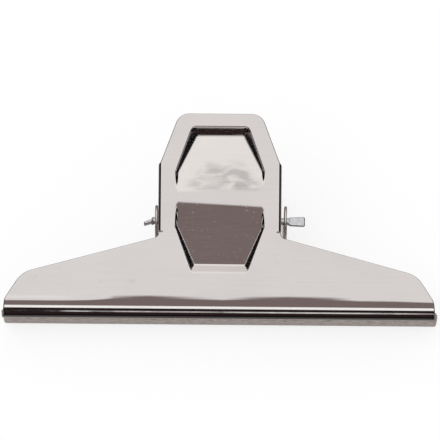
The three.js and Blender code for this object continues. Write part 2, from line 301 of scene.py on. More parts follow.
def rounded(corners, step=OUTLINE_STEP):
    """A closed line of points from corners (x, y, radius), with an arc at each that has a radius."""
    points = []
    count = len(corners)
    for i, (x, y, radius) in enumerate(corners):
        at = np.array((x, y))
        back = np.array(corners[i - 1][:2]) - at
        on = np.array(corners[(i + 1) % count][:2]) - at
        back /= np.linalg.norm(back)
        on /= np.linalg.norm(on)
        if not radius:
            points.append(at)
            continue
        half = math.acos(np.clip(back @ on, -1, 1)) / 2
        cut = radius / math.tan(half)
        middle = (back + on) / np.linalg.norm(back + on)
        centre = at + middle * radius / math.sin(half)
        start, end = at + back * cut - centre, at + on * cut - centre
        turn = math.atan2(start[0] * end[1] - start[1] * end[0], start @ end)
        steps = max(3, math.ceil(abs(turn) * radius / step), math.ceil(abs(turn) / ARC_STEP))
        for k in range(steps + 1):
            a = turn * k / steps
            c, s = math.cos(a), math.sin(a)
            points.append(centre + np.array((c * start[0] - s * start[1], s * start[0] + c * start[1])))
    return points


def divided(points, step=OUTLINE_STEP):
    """The same closed line with no stretch longer than step."""
    out = []
    for i, a in enumerate(points):
        b = points[(i + 1) % len(points)]
        steps = max(1, math.ceil(np.linalg.norm(b - a) / step))
        out += [a + (b - a) * k / steps for k in range(steps)]
    return np.array(out)


def outward(line):
    """The outward direction at each point of a closed line that runs clockwise."""
    on = unit(np.roll(line, -1, axis=0) - line)
    along = unit(on + np.roll(on, 1, axis=0))
    mitre = 1 / np.clip((along * on).sum(1), SHARPEST_MITRE, 1)
    return np.stack((-along[:, 1], along[:, 0]), 1) * mitre[:, None]


def inside(points, line):
    """Which points lie inside a closed line."""
    x, y = points[:, 0][:, None], points[:, 1][:, None]
    ax, ay = line[:, 0], line[:, 1]
    bx, by = np.roll(ax, -1), np.roll(ay, -1)
    crosses = (ay > y) != (by > y)
    with np.errstate(divide="ignore", invalid="ignore"):
        at = ax + (y - ay) / (by - ay) * (bx - ax)
    return (crosses & (x < at)).sum(1) % 2 == 1


def far_from(points, line, least):
    """Which points keep at least that distance from the points of a line."""
    keep = np.ones(len(points), bool)
    for start in range(0, len(points), BATCH):
        part = points[start : start + BATCH]
        d = np.linalg.norm(part[:, None, :] - line[None, :, :], axis=2).min(1)
        keep[start : start + BATCH] = d > least
    return keep


def smooth_min(a, b, r):
    """The lesser of two heights, with the crease between them rounded."""
    h = np.clip(0.5 + 0.5 * (b - a) / r, 0, 1)
    return b * (1 - h) + a * h - r * h * (1 - h)


def smoothstep(low, high, value):
    """0 up to low and 1 from high on, with a soft change between them."""
    t = np.clip((value - low) / (high - low), 0, 1)
    return t * t * (3 - 2 * t)


def wall_profile(inwards, depth):
    """The depth of a pressing at a distance inwards from its rim: an arc, a straight wall and an arc."""
    arcs = 2 * WALL_R * (1 - math.cos(WALL_TILT))
    tilt = np.arccos(np.clip(1 - np.minimum(depth, arcs) / (2 * WALL_R), -1, 1))
    arc = WALL_R * np.sin(tilt)
    straight = np.clip(depth - arcs, 0, None) / math.tan(WALL_TILT)
    width = 2 * arc + straight
    d = np.clip(inwards, 0, width)
    arc_depth = WALL_R * (1 - np.cos(tilt))
    first = WALL_R - np.sqrt(np.clip(WALL_R**2 - np.minimum(d, arc) ** 2, 0, None))
    last = depth - WALL_R + np.sqrt(np.clip(WALL_R**2 - np.minimum(width - d, arc) ** 2, 0, None))
    middle = arc_depth + (d - arc) * math.tan(WALL_TILT)
    return np.where(d < arc, first, np.where(d > width - arc, last, middle))


class Jaw:
    """One jaw: its blank, and the bending that makes it."""

    def __init__(self, head, ear_half, ear_high, uneven=(), painted_lip_reflection=False):
        self.ear_half = ear_half
        self.ear_high = ear_high
        self.fold_at = ear_half - BEND_R
        self.fold_mid = BEND_R - SHEET / 2
        self.fold_length = self.fold_mid * math.pi / 2
        self.head = head
        self.uneven = uneven
        self.painted_lip_reflection = painted_lip_reflection
        to_middle = (PIN_DEPTH - LIP_R) * math.cos(WEDGE / 2) + LIP_START * math.sin(WEDGE / 2)
        reach = to_middle - TOUCH_GAP / 2 - HEM_R
        self.lip_turn = math.acos(-reach / (LIP_R - HEM_R)) - WEDGE / 2
        self.lip_length = self.lip_turn * (LIP_R - SHEET / 2)
        self.hem_length = (HEM_END - self.lip_turn) * (HEM_R - SHEET / 2)
        self.end = LIP_START - self.lip_length - self.hem_length

    def across(self, n):
        """Where on the blank a depth n down the ear lies, measured across from the middle."""
        return self.fold_at + self.fold_length + n - BEND_R

    def outline(self):
        """The blank's edge, clockwise from the top, and the two pin holes."""
        lug = np.array((self.across(PIN_DEPTH), 0.0))
        top = np.array((self.head[-1][0], self.ear_high))
        low = np.array((self.across(BEND_R + SHEET), EAR_LOW))

        def touch(point, side):
            away = point - lug
            heading = math.atan2(away[1], away[0])
            return heading + side * math.acos(LUG_R / np.linalg.norm(away))

        first = touch(top, -1)
        last = first - (first - touch(low, 1)) % (2 * math.pi)
        turns = np.linspace(first, last, LUG_STEPS)
        ear = [lug + LUG_R * np.array((math.cos(a), math.sin(a))) for a in turns]
        head = rounded([(-HEAD_TOP_HALF, HEAD_TOP, 0), *self.head, (*ear[0], 0)])[1:-1]
        wing = rounded(
            [
                (*ear[-1], 0),
                (low[0], EAR_LOW, EAR_FOOT_R),
                (self.fold_at, EAR_LOW, SLIT_END_R),
                (self.fold_at, EAR_LOW - SLIT, SLIT_END_R),
                (self.ear_half - SHOULDER_INSET, EAR_LOW - SLIT, 0),
                (self.ear_half, SHOULDER, SHOULDER_ARC_R),
                WING_CORNER,
                WING_FOOT,
                (LIP_HALF, self.end, LIP_CORNER_R),
                (-LIP_HALF, self.end, 0),
            ]
        )[1:-1]
        right = np.array([*head, *ear, *wing])
        left = right[::-1] * (-1, 1)

        def hole(side):
            around = np.linspace(0, -2 * math.pi, HOLE_SIDES + 1)[:-1]
            x = side * lug[0]
            return np.array([(x + HOLE_RADIUS * math.sin(a), HOLE_RADIUS * math.cos(a)) for a in around])

        return divided([*right, *left]), [hole(1), hole(-1)]

    def grid(self, line):
        """The points inside the blank, close where the sheet is bent or pressed and wide elsewhere."""

        def field(x0, x1, dx, s0, s1, ds):
            xs = np.arange(x0, x1 + dx / 2, dx)
            ss = np.arange(s0, s1 + ds / 2, ds)
            return np.stack(np.meshgrid(xs, ss), 2).reshape(-1, 2)

        hem_at = LIP_START - self.lip_length
        half, low, high = PANEL_FIELD
        panel = field(-half, half, PANEL_STEP, low, high, PANEL_STEP)
        half = FLAT_FIELD_HALF
        flat = field(-half, half, FLAT_STEP, LIP_START + FLAT_STEP, HEAD_TOP, FLAT_STEP)
        beside, s = abs(flat[:, 0]), flat[:, 1]
        half, low, high = PANEL_CLEARING
        in_panel = (beside < half) & (s > low) & (s < high)
        from_fold = abs(beside - self.fold_at - self.fold_length / 2)
        in_fold = (from_fold < self.fold_length * FOLD_CLEARING) & (s > SHOULDER)
        flat = flat[~in_panel & ~in_fold]
        half = LIP_FIELD_HALF
        lip = field(-half, half, LIP_COLUMN, hem_at, LIP_START + LIP_STEP, LIP_STEP)
        hem = field(-half, half, LIP_COLUMN, self.end, hem_at - HEM_STEP, HEM_STEP)
        parts = [panel, flat, lip, hem]
        for side in (-1, 1):
            a, b = self.fold_at, self.fold_at + self.fold_length
            fold = field(a, b, FOLD_STEP, EAR_LOW, self.ear_high, FOLD_ROW)
            parts.append(fold * (side, 1))
        points = np.concatenate(parts)
        return points[inside(points, line) & far_from(points, line, EDGE_CLEARANCE)]

    def folds(self, points):
        """Which points belong to the head and its ears, rather than to the wings."""
        past_ear = np.clip(np.abs(points[:, 0]) - self.ear_half, 0, None)
        return points[:, 1] > EAR_LOW - SLIT / 2 - PARTING_SLOPE * past_ear

    def place(self, points, lift, in_ear):
        """Points of the blank, each lifted off the middle of the sheet towards its outer face, and their
        normals."""

        def normal_of(surface):
            step = SLOPE_STEP
            dx = surface(points + (step, 0)) - surface(points - (step, 0))
            ds = surface(points + (0, step)) - surface(points - (0, step))
            return unit(np.cross(ds, dx))

        sheet_normal = normal_of(lambda p: self.bent(p, in_ear))
        at = self.bent(points, in_ear) + sheet_normal * np.asarray(lift)[:, None]
        at[:, 2] += self.sunk(points, in_ear)
        return at, normal_of(lambda p: self.bent(p, in_ear) + np.outer(self.sunk(p, in_ear), (0, 0, 1)))

    def bent(self, points, in_ear):
        """The middle of the sheet before its panels are pressed: (x, u, n) of each point of the blank."""
        x, s = points[:, 0], points[:, 1]
        turn = np.clip((LIP_START - s) / (LIP_R - SHEET / 2), 0, self.lip_turn)
        past = np.clip(LIP_START - self.lip_length - s, 0, None)
        hem_turn = past / (HEM_R - SHEET / 2)
        hem_centre_u = LIP_START - (LIP_R - HEM_R) * math.sin(self.lip_turn)
        hem_centre_n = LIP_R - (LIP_R - HEM_R) * math.cos(self.lip_turn)
        on_hem = past > 0
        whole = turn + hem_turn
        radius = np.where(on_hem, HEM_R, LIP_R) - SHEET / 2
        u = np.where(on_hem, hem_centre_u, LIP_START) - radius * np.sin(whole)
        n = np.where(on_hem, hem_centre_n, LIP_R) - radius * np.cos(whole)
        flat = s >= LIP_START
        u = np.where(flat, s, u)
        n = np.where(flat, SHEET / 2, n)
        over = np.abs(x) - self.fold_at
        angle = np.clip(over / self.fold_mid, 0, math.pi / 2)
        down = np.clip(over - self.fold_length, 0, None)
        folded_x = self.fold_at + self.fold_mid * np.sin(angle)
        folded_n = BEND_R - self.fold_mid * np.cos(angle) + down
        fold = in_ear & (over > 0)
        x = np.where(fold, np.sign(x) * folded_x, x)
        n = np.where(fold, folded_n, n)
        return np.stack((x, u, n), 1)

    def sunk(self, points, in_ear):
        """How far each point is pressed straight inwards, so that a steep wall gets thinner."""
        x, s = points[:, 0], points[:, 1]
        on_ear = in_ear & (np.abs(x) > self.fold_at)
        return np.where(on_ear, 0, self.pressed(x, s) + self.ripple(x, s))

    def within(self, rim, way, x, s):
        """How far a point lies inside a panel's side, slanted and end lines, the last two times their
        steepness."""
        slant = np.array((abs(rim["far"] - rim["side"]), RIM_HALF - rim["far_half"]))
        slant /= np.linalg.norm(slant)
        by_slant, by_end = rim["steeper"]
        side = RIM_HALF - np.abs(x)
        corner = (side * slant[0] + (rim["side"] - s) * way * slant[1]) * by_slant
        return side, corner, (rim["far"] - s) * way * by_end

    def pressed(self, x, s):
        """How far the two panels are pressed in."""
        sunk = np.zeros_like(x)
        for rim, level in ((UPPER_RIM, BRIDGE_HIGH), (LOWER_RIM, BRIDGE_LOW)):
            way = 1 if rim["far"] > level else -1
            bridge = level - way * BRIDGE_TILT * x
            floor = PANEL_DEPTH * (s - bridge) / (rim["floor_far"] - level)
            floor = -smooth_min(-floor, np.zeros_like(floor), BRIDGE_R)
            side, corner, end = self.within(rim, way, x, s)
            fade = smoothstep(0, CORNER_FADE, np.minimum(corner, end))
            blend = RIM_CORNER + (FOOT_CORNER - RIM_CORNER) * fade
            by_ends = wall_profile(smooth_min(corner, end, blend), floor)
            by_side = floor * smoothstep(0, SIDE_WALL, side)
            crease = np.maximum(SIDE_BLEND * floor, 1e-9)
            sunk = np.maximum(sunk, smooth_min(by_ends, by_side, crease))
        return sunk

    def ripple(self, x, s):
        """Slight unevenness that the press leaves in the flat above the lip."""
        if not len(self.uneven):
            return np.zeros_like(x)
        at, depth = np.array(self.uneven).T * MM
        start, end = LIP_START + RIPPLE_ABOVE, LIP_START - RIPPLE_BELOW
        return np.interp(x, at, depth) * smoothstep(0, 1, (start - s) / (start - end))

    def marks(self, x, s):
        """Where the finish differs: the dull cloud in the upper panel, the lower panel, and the rear lip's
        painted reflection of the floor.
        """
        wide = CLOUD_HALF_TOP + (CLOUD_HALF_LOW - CLOUD_HALF_TOP) * smoothstep(CLOUD_TOP, CLOUD_LOW, s)
        beside = 1 - smoothstep(wide * CLOUD_CORE, wide, np.abs(x - CLOUD_X))
        under = smoothstep(-CLOUD_TOP, -CLOUD_TOP + CLOUD_FADE_TOP, -s)
        above = smoothstep(CLOUD_LOW - CLOUD_FADE_LOW, CLOUD_LOW, s)
        in_walls = smoothstep(*LINES_INSIDE, np.minimum.reduce(self.within(LOWER_RIM, -1, x, s)))
        below_bridge = smoothstep(-LINES_FADE, 0, BRIDGE_LOW + BRIDGE_TILT * x - s)
        lip_reflection = np.zeros_like(x)
        # The rear lip gets a painted reflection of the floor, which sets in a share of the way round the
        # curl
        if self.painted_lip_reflection:
            lip_reflection = smoothstep(0, LIP_REFLECTION_FADE, LIP_START - LIP_REFLECTION_FROM * self.lip_length - s)
        return {"cloud": beside * under * above, "lower_panel": in_walls * below_bridge, "lip_reflection": lip_reflection}

    def mesh(self):
        """The closed sheet of this jaw, made from a triangulation of its blank."""
        line, holes = self.outline()
        rim_lines = [line, *holes]
        inner = [edge - outward(edge) * EDGE_R for edge in rim_lines]
        grid = self.grid(inner[0])
        for hole in inner[1:]:
            grid = grid[~inside(grid, hole) & far_from(grid, hole, HOLE_CLEARANCE)]
        points, edges = [], []
        for edge in inner:
            first = len(points)
            points += [Vector(p) for p in edge]
            edges += [(first + k, first + (k + 1) % len(edge)) for k in range(len(edge))]
        points += [Vector(p) for p in grid]
        made = delaunay_2d_cdt(points, edges, [], 1, 1e-13)
        flat = np.array([tuple(p) for p in made[0]])
        faces = np.array([f for f in made[2] if len(f) == 3])
        centre = flat[faces].mean(1)
        keep = inside(centre, inner[0])
        for hole in inner[1:]:
            keep &= ~inside(centre, hole)
        faces = faces[keep]
        a, b, c = (flat[faces[:, k]] for k in range(3))
        area = (b - a)[:, 0] * (c - a)[:, 1] - (b - a)[:, 1] * (c - a)[:, 0]
        faces[area < 0] = faces[area < 0][:, ::-1]
        used, faces = np.unique(faces, return_inverse=True)
        return closed_sheet(self, flat[used], faces.reshape(-1, 3))


def border(faces):
    """The border edges of a set of triangles, each as (start, end) with the surface on its left."""
    seen = {}
    for f in faces:
        for k in range(3):
            seen[(f[k], f[(k + 1) % 3])] = True
    return [(a, b) for a, b in seen if (b, a) not in seen]


def closed_sheet(jaw, flat, faces):
    """The blank as a closed sheet of full thickness with rounded edges: its points, exact normals, faces,
    places on the blank, and how much of each point is cut edge."""
    edge = border(faces)
    after = {a: b for a, b in edge}
    before = {b: a for a, b in edge}
    rim = sorted(after)
    way = {}
    for v in rim:
        on = flat[after[v]] - flat[v]
        back = flat[v] - flat[before[v]]
        along = on / np.linalg.norm(on) + back / np.linalg.norm(back)
        along /= max(np.linalg.norm(along), 1e-9)
        way[v] = np.array((along[1], -along[0]))
    in_ear = jaw.folds(flat)
    count = len(flat)
    outer, normal = jaw.place(flat, np.full(count, SHEET / 2), in_ear)
    inner, _ = jaw.place(flat, np.full(count, -SHEET / 2), in_ear)
    places, normals = [outer, inner], [normal, -normal]
    blank, cut = [flat, flat], [np.zeros(count), np.zeros(count)]
    profile = [math.pi / 2 * k / EDGE_STEPS for k in range(1, EDGE_STEPS + 1)]
    rings = [(a, 1) for a in profile] + [(a, -1) for a in profile[::-1]]
    rim_flat = flat[rim]
    rim_way = np.array([way[v] for v in rim])
    rim_ear = in_ear[rim]
    base, base_normal = jaw.place(rim_flat, np.zeros(len(rim)), rim_ear)
    beside, _ = jaw.place(rim_flat + rim_way * EDGE_SLOPE_STEP, np.zeros(len(rim)), rim_ear)
    outwards = unit(beside - base)
    index = {v: k for k, v in enumerate(rim)}
    for angle, face in rings:
        reach = EDGE_R * math.sin(angle)
        lift = face * (SHEET / 2 - EDGE_R + EDGE_R * math.cos(angle))
        at, _ = jaw.place(rim_flat + rim_way * reach, np.full(len(rim), lift), rim_ear)
        places.append(at)
        normals.append(outwards * math.sin(angle) + base_normal * face * math.cos(angle))
        blank.append(rim_flat + rim_way * reach)
        cut.append(np.full(len(rim), math.sin(angle) ** 2))
    places = np.concatenate(places)
    normals = np.concatenate(normals)
    loops = [list(f[::-1]) for f in faces] + [[v + count for v in f] for f in faces]
    start = 2 * count
    size = len(rim)

    def ring_vertex(ring, v):
        """The number of a rim point's copy in a ring, where the first and last rings are the faces' own."""
        if ring < 0:
            return v
        if ring == len(rings):
            return v + count
        return start + ring * size + index[v]

    for a, b in edge:
        for ring in range(-1, len(rings)):
            corners = ((ring, a), (ring, b), (ring + 1, b), (ring + 1, a))
            loops.append([ring_vertex(*corner) for corner in corners])
    places[:, 2] -= PIN_DEPTH
    return places, normals, loops, np.concatenate(blank), np.concatenate(cut)


def linked(name, data):
    """A new object in the scene."""
    made = bpy.data.objects.new(name, data)
    bpy.context.scene.collection.objects.link(made)
    return made


def make_mesh(name, places, loops, matrix, material, normals=None):
    """A mesh object in the CAD frame, with its own normals where they are given."""
    turn = np.array(matrix.to_3x3())
    world = places @ turn.T + np.array(matrix.translation)
    mesh = bpy.data.meshes.new(name)
    mesh.from_pydata(world.tolist(), [], [list(map(int, f)) for f in loops])
    mesh.validate()
    mesh.shade_smooth()
    mesh.materials.append(material)
    if normals is not None:
        mesh.normals_split_custom_set_from_vertices(unit(normals @ turn.T).tolist())
    return linked(name, mesh)


def ring_faces(count, sides):
    """The faces of a closed tube of that many rings, each with that many points."""
    k = np.arange(sides)
    after = (k + 1) % sides
    loops = []
    for ring in range(count - 1):
        a, b = ring * sides, (ring + 1) * sides
        loops += np.stack((a + k, a + after, b + after, b + k), 1).tolist()
    return [*loops, k[::-1].tolist(), (k + (count - 1) * sides).tolist()]


def add_attribute(piece, name, values):
    """Values kept with the points of a mesh, for its material to read."""
    kind = "FLOAT" if values.ndim == 1 else "FLOAT_VECTOR"
    attribute = piece.data.attributes.new(name, kind, "POINT")
    field = "value" if values.ndim == 1 else "vector"
    attribute.data.foreach_set(field, values.astype(np.float32).ravel())


# Springs


def spring_line():
    """The right-hand spring's centre line about the pin: rear leg, coil from outside in, front leg."""
    flat_back = SHEET + WIRE_R + TOUCH_GAP
    slope = (LEG_REACH - BRIDGE_HIGH) / (UPPER_RIM["floor_far"] - BRIDGE_HIGH)
    panel_back = flat_back + PANEL_DEPTH * slope

    def tip(depth, mirror):
        angle = math.atan2(depth - PIN_DEPTH, LEG_REACH)
        return (WEDGE - angle if mirror else angle), math.hypot(depth - PIN_DEPTH, LEG_REACH)

    def at(x, angle, distance):
        return np.array((x, distance * math.cos(angle), distance * math.sin(angle)))

    rear_angle, rear_distance = tip(flat_back, False)
    front_angle, front_distance = tip(panel_back, True)
    enter = rear_angle - math.acos(COIL_R / rear_distance)
    leave = front_angle + math.acos(COIL_R / front_distance) - 2 * math.pi
    turned = enter - leave + 2 * math.pi * COIL_TURNS
    steps = round(turned / (2 * math.pi) * COIL_STEPS)
    advance = COIL_PITCH * turned / (2 * math.pi)
    coil = [at(LEG_X - advance * k / steps, enter - turned * k / steps, COIL_R) for k in range(steps + 1)]
    start = at(LEG_X, rear_angle, rear_distance)
    end = at(LEG_X - advance, front_angle, front_distance)
    first = [start + (coil[0] - start) * k / LEG_STEPS for k in range(LEG_STEPS)]
    last = [coil[-1] + (end - coil[-1]) * k / LEG_STEPS for k in range(1, LEG_STEPS + 1)]
    return np.array(first + coil + last)


def tube(line, radius, sides, chamfer):
    """A closed tube along a line, with chamfered cut ends: its points, normals, faces and places on the
    wire."""
    ahead = unit(np.gradient(line, axis=0))
    out = unit(np.cross((1.0, 0.0, 0.0), ahead))
    side = np.cross(ahead, out)
    round_ = 2 * math.pi * np.arange(sides) / sides
    c, s = np.cos(round_)[None, :, None], np.sin(round_)[None, :, None]
    spokes = out[:, None, :] * c + side[:, None, :] * s
    body = line[:, None, :] + spokes * radius
    tips = []
    for i, way in ((0, -1), (-1, 1)):
        cap = line[i] + ahead[i] * way * chamfer
        tips.append((cap + spokes[i] * (radius - chamfer), np.repeat(ahead[i][None] * way, sides, 0)))
    places = np.concatenate([tips[0][0][None], body, tips[1][0][None]])
    normals = np.concatenate([tips[0][1][None], spokes, tips[1][1][None]])
    count = len(places)
    run = np.concatenate(([0], np.cumsum(np.linalg.norm(np.diff(line, axis=0), axis=1))))
    run = np.concatenate((run[:1] - chamfer, run, run[-1:] + chamfer))
    around = [np.tile(radius * turn, count) for turn in (np.cos(round_), np.sin(round_))]
    drawn = np.stack((np.repeat(run, sides), *around), 1)
    return places.reshape(-1, 3), normals.reshape(-1, 3), ring_faces(count, sides), drawn


# Hinge pin


def pin_section(x, spade, start, way):
    """The pin at a distance past the ear, where its end is hammered flat: its half-width, its
    half-thickness and how flat it is."""
    along = (x - start) * way
    round_to, flat_from = SPADE_FLATTENS
    flat = smoothstep(SPADE_ROOT * round_to, SPADE_ROOT * flat_from, along)
    flare = smoothstep(0, spade["length"], along)
    at_root, gained = SPADE_WIDTH
    half = PIN_RADIUS + (SPADE_HALF * (at_root + gained * flare) - PIN_RADIUS) * flat
    at_root, lost = SPADE_DEPTH
    thick = PIN_RADIUS + (SPADE_THICKNESS / 2 * (at_root - lost * flare) - PIN_RADIUS) * flat
    corner = spade["length"] - along
    if corner < SPADE_R:
        half -= SPADE_R - math.sqrt(max(SPADE_R**2 - (SPADE_R - corner) ** 2, 0))
        thick -= SPADE_THICKNESS * SPADE_TIP_LOSS * (1 - corner / SPADE_R) ** 2
    return half, thick, flat


def pin_mesh():
    """The pin: a round shaft that passes into a hammered spade at each end."""
    right = REAR_EAR_HALF + SIDE_SHIFT + SPADE_END_GAP
    left = REAR_EAR_HALF - SIDE_SHIFT + SPADE_END_GAP
    stations = []
    for spade, start, way in ((LEFT_SPADE, -left, -1), (RIGHT_SPADE, right, 1)):
        turns = np.linspace(0, math.pi / 2, SPADE_END_STEPS)
        ends = spade["length"] - SPADE_R * (1 - np.cos(turns))
        body = np.linspace(-SHAFT_REACH, spade["length"] - SPADE_R, SPADE_STEPS)[:-1]
        along = np.concatenate([body, ends[::-1]])
        run = [(start + way * a, spade, start, way) for a in along]
        stations += run if way > 0 else run[::-1]
    angle = 2 * math.pi * np.arange(PIN_SIDES) / PIN_SIDES
    rings = []
    for x, spade, start, way in stations:
        half, thick, flat = pin_section(x, spade, start, way)
        power = 2 / (2 + SPADE_SQUARENESS * flat)
        c, s = np.cos(angle), np.sin(angle)
        across = half * np.sign(c) * np.abs(c) ** power
        through = thick * np.sign(s) * np.abs(s) ** power
        turn = spade["turn"] * flat
        along = max((x - start) * way, 0)
        y = across * math.cos(turn) - through * math.sin(turn)
        z = across * math.sin(turn) + through * math.cos(turn)
        sink = along * math.sin(spade["droop"])
        y = y + sink * math.sin(spade["turn"])
        z = z - sink * math.cos(spade["turn"])
        rings.append(np.stack((np.full(PIN_SIDES, x), y, z), 1))
    return np.concatenate(rings), ring_faces(len(rings), PIN_SIDES)


# Materials

PLATE = (0.82, 0.79, 0.765)
PLATE_STAINED = (0.6, 0.56, 0.54)
PLATE_SCRATCHED = (0.9, 0.88, 0.87)
PLATE_DULL = (0.47, 0.46, 0.46)
PLATE_CUT = (0.66, 0.645, 0.64)
# Dark and light colours of the painted reflection of the floor on the rear lip
LIP_REFLECTION_DARK = (0.3, 0.25, 0.225)
LIP_REFLECTION_LIGHT = (0.62, 0.56, 0.53)
WIRE_DARK = (0.47, 0.46, 0.455)
WIRE_LIGHT = (0.62, 0.615, 0.6)
ZINC_DARK = (0.6, 0.61, 0.64)
ZINC_LIGHT = (0.74, 0.75, 0.78)
DENT_HEIGHT = 0.014 * MM
DRAWN_HEIGHT = 0.006 * MM
HAMMER_HEIGHT = 0.03 * MM


def shader_nodes(name):
    """A new metal, its nodes and its shader."""
    material = bpy.data.materials.new(name)
    material.use_nodes = True
    tree = material.node_tree
    shader = tree.nodes["Principled BSDF"]
    shader.inputs["Metallic"].default_value = 1
    return material, tree, shader


def node(tree, kind, **settings):
    """A new node, with its inputs and properties set by name."""
    made = tree.nodes.new(kind)
    for key, value in settings.items():
        if key in made.inputs:
            made.inputs[key].default_value = value
        else:
            setattr(made, key, value)
    return made


def noise(tree, place, scale, detail=3.0, distortion=0.0):
    """Noise at a place in millimetres, with its own number of waves per millimetre in each direction."""
    mapping = node(tree, "ShaderNodeMapping")
    mapping.inputs["Scale"].default_value = scale
    tree.links.new(place, mapping.inputs["Vector"])
    made = node(tree, "ShaderNodeTexNoise", Scale=1.0, Detail=detail, Distortion=distortion)
    tree.links.new(mapping.outputs["Vector"], made.inputs["Vector"])
    return made.outputs[0]


def spread(tree, value, low, high, first, last):
    """A value from low to high turned into one from first to last."""
    made = node(tree, "ShaderNodeMapRange")
    tree.links.new(value, made.inputs["Value"])
    for key, number in (("From Min", low), ("From Max", high), ("To Min", first), ("To Max", last)):
        made.inputs[key].default_value = number
    return made.outputs["Result"]


def maths(tree, operation, a, b):
    """The result of a Math node for two values, each a number or the output of a node."""
    made = node(tree, "ShaderNodeMath", operation=operation)
    for value, socket in ((a, made.inputs[0]), (b, made.inputs[1])):
        if isinstance(value, (int, float)):
            socket.default_value = value
        else:
            tree.links.new(value, socket)
    return made.outputs[0]


def times(tree, a, b):
    return maths(tree, "MULTIPLY", a, b)


def tinted(tree, factor, first, last):
    """A colour between two, each a colour or the output of a node."""
    made = node(tree, "ShaderNodeMix", data_type="RGBA")
    tree.links.new(factor, made.inputs["Factor"])
    for value, socket in ((first, made.inputs[6]), (last, made.inputs[7])):
        if isinstance(value, tuple):
            socket.default_value = (*value, 1)
        else:
            tree.links.new(value, socket)
    return made.outputs[2]


def scaled(tree, colour, value):
    """A colour times a value."""
    made = node(tree, "ShaderNodeVectorMath", operation="SCALE")
    tree.links.new(colour, made.inputs[0])
    tree.links.new(value, made.inputs["Scale"])
    return made.outputs["Vector"]


def raised(tree, shader, height, metres):
    """Bumps whose height of 1 is that many metres."""
    bump = node(tree, "ShaderNodeBump", Strength=1.0, Distance=metres)
    tree.links.new(height, bump.inputs["Height"])
    tree.links.new(bump.outputs["Normal"], shader.inputs["Normal"])


def nickel():
    """Bright nickel over rolled sheet: lines of the rolling across the jaw, faint stains, fine scratches, a
    dull cloud in the upper panel, fine lines and small dents in the lower one, duller cut edges, and on the
    rear lip a painted reflection of the floor on less metallic sheet."""
    material, tree, shader = shader_nodes("nickel_plate")

    def read(name):
        return node(tree, "ShaderNodeAttribute", attribute_name=name)

    place = read("blank").outputs["Vector"]
    cut, cloud = read("cut").outputs["Fac"], read("cloud").outputs["Fac"]
    lower, lip_reflection = read("lower_panel").outputs["Fac"], read("lip_reflection").outputs["Fac"]

    broad = spread(tree, noise(tree, place, (0.035, 0.06, 1)), 0.3, 0.7, 0.965, 1.03)
    rolled = spread(tree, noise(tree, place, (0.05, 1.6, 1), 5), 0.3, 0.7, 0.985, 1.015)
    grain = spread(tree, noise(tree, place, (2.4, 3.2, 1), 2), 0.3, 0.7, 0.985, 1.015)
    level = times(tree, times(tree, broad, rolled), grain)

    lines = spread(tree, noise(tree, place, (0.14, 4.4, 1), 2), 0.32, 0.68, -0.05, 0.075)
    level = times(tree, level, maths(tree, "ADD", 1.0, times(tree, lines, lower)))

    swirl = spread(tree, noise(tree, place, (0.13, 0.3, 1), 4, 0.9), 0.38, 0.6, 0.1, 1.0)
    streaks = spread(tree, noise(tree, place, (0.3, 2.6, 1), 3), 0.35, 0.65, 0.78, 1.0)
    dull = times(tree, times(tree, swirl, streaks), cloud)
    fleck = spread(tree, noise(tree, place, (1.5, 1.5, 1), 1), 0.73, 0.78, 0.0, 1.0)
    dull = times(tree, dull, maths(tree, "SUBTRACT", 1.0, fleck))

    stain = spread(tree, noise(tree, place, (0.16, 0.22, 1), 6, 0.5), 0.66, 0.78, 0.0, 0.3)
    scratch = spread(tree, noise(tree, place, (0.16, 5.5, 1), 1, 0.35), 0.76, 0.8, 0.0, 0.5)

    colour = tinted(tree, stain, PLATE, PLATE_STAINED)
    colour = tinted(tree, scratch, colour, PLATE_SCRATCHED)
    colour = tinted(tree, times(tree, dull, 0.85), colour, PLATE_DULL)
    colour = tinted(tree, times(tree, cut, 0.8), colour, PLATE_CUT)
    # Painted reflection of the floor on the rear lip, mottled between a dark and a light colour
    lip_reflection_mottle = spread(tree, noise(tree, place, (0.5, 4.5, 1), 4), 0.32, 0.68, 0.0, 1.0)
    colour = tinted(tree, lip_reflection, colour, tinted(tree, lip_reflection_mottle, LIP_REFLECTION_DARK, LIP_REFLECTION_LIGHT))
    tree.links.new(scaled(tree, colour, level), shader.inputs["Base Color"])

    rough = spread(tree, noise(tree, place, (0.3, 1.2, 1), 4), 0.3, 0.7, 0.05, 0.1)
    rough = maths(tree, "ADD", rough, times(tree, dull, 0.12))
    rough = maths(tree, "ADD", rough, times(tree, maths(tree, "MAXIMUM", cut, lip_reflection), 0.25))
    tree.links.new(rough, shader.inputs["Roughness"])
    # The lip with the painted reflection is made less metallic, so that its painted colour shows
    metal = maths(tree, "SUBTRACT", 1.0, times(tree, lip_reflection, 0.8))
    tree.links.new(metal, shader.inputs["Metallic"])

    dents = spread(tree, noise(tree, place, (1.1, 1.4, 1), 1), 0.68, 0.8, 0.0, 1.0)
    raised(tree, shader, times(tree, dents, lower), DENT_HEIGHT)
    return material


def wire_steel():
    """Drawn spring wire: fine lines along the wire, grey patches of its coating."""
    material, tree, shader = shader_nodes("spring_wire")
    place = node(tree, "ShaderNodeAttribute", attribute_name="drawn").outputs["Vector"]
    drawn = spread(tree, noise(tree, place, (0.06, 3.5, 3.5), 4), 0.3, 0.7, 0.0, 1.0)
    patches = spread(tree, noise(tree, place, (0.25, 0.5, 0.5), 5, 0.6), 0.35, 0.65, 0.82, 1.08)
    colour = tinted(tree, drawn, WIRE_DARK, WIRE_LIGHT)
    tree.links.new(scaled(tree, colour, patches), shader.inputs["Base Color"])
    tree.links.new(spread(tree, drawn, 0.0, 1.0, 0.22, 0.38), shader.inputs["Roughness"])
    raised(tree, shader, drawn, DRAWN_HEIGHT)
    return material


